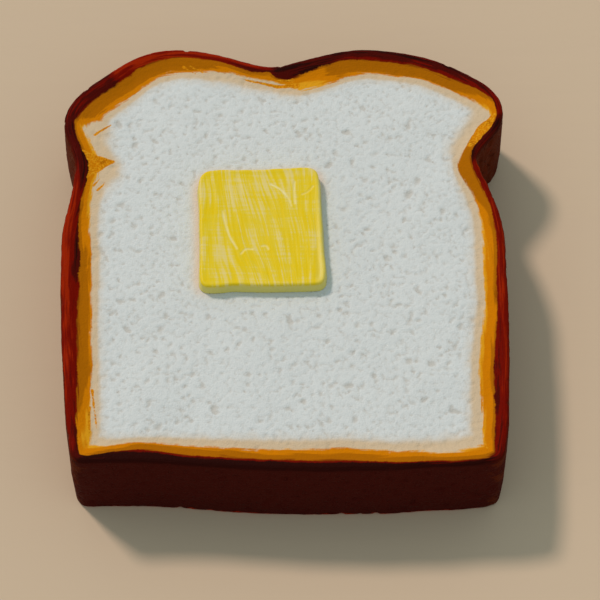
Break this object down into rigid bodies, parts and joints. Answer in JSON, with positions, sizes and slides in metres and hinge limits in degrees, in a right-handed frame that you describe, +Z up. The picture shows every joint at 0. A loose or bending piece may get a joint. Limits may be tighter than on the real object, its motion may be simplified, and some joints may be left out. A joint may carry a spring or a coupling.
{
  "type": "buttered toast",
  "caption": "Thick slice of white sandwich bread, two-humped on top, with a browned crust and a square pat of soft butter lying on its cut face.",
  "frame": {"origin": "centre of the bounding box's underside, on what the slice lies on", "axes": "+Z up through the slice's thickness, +Y towards the two-humped top of the slice, -Y towards the loaf's base"},
  "size_m": [0.1138, 0.124, 0.0273],
  "materials": {
    "toast": "porous white crumb inside a dark red-brown crust, with a golden band between them",
    "butter": "soft satin yellow"
  },
  "bodies": {
    "root": {"toast": "toast", "butter": "butter"}
  },
  "joints": []
}
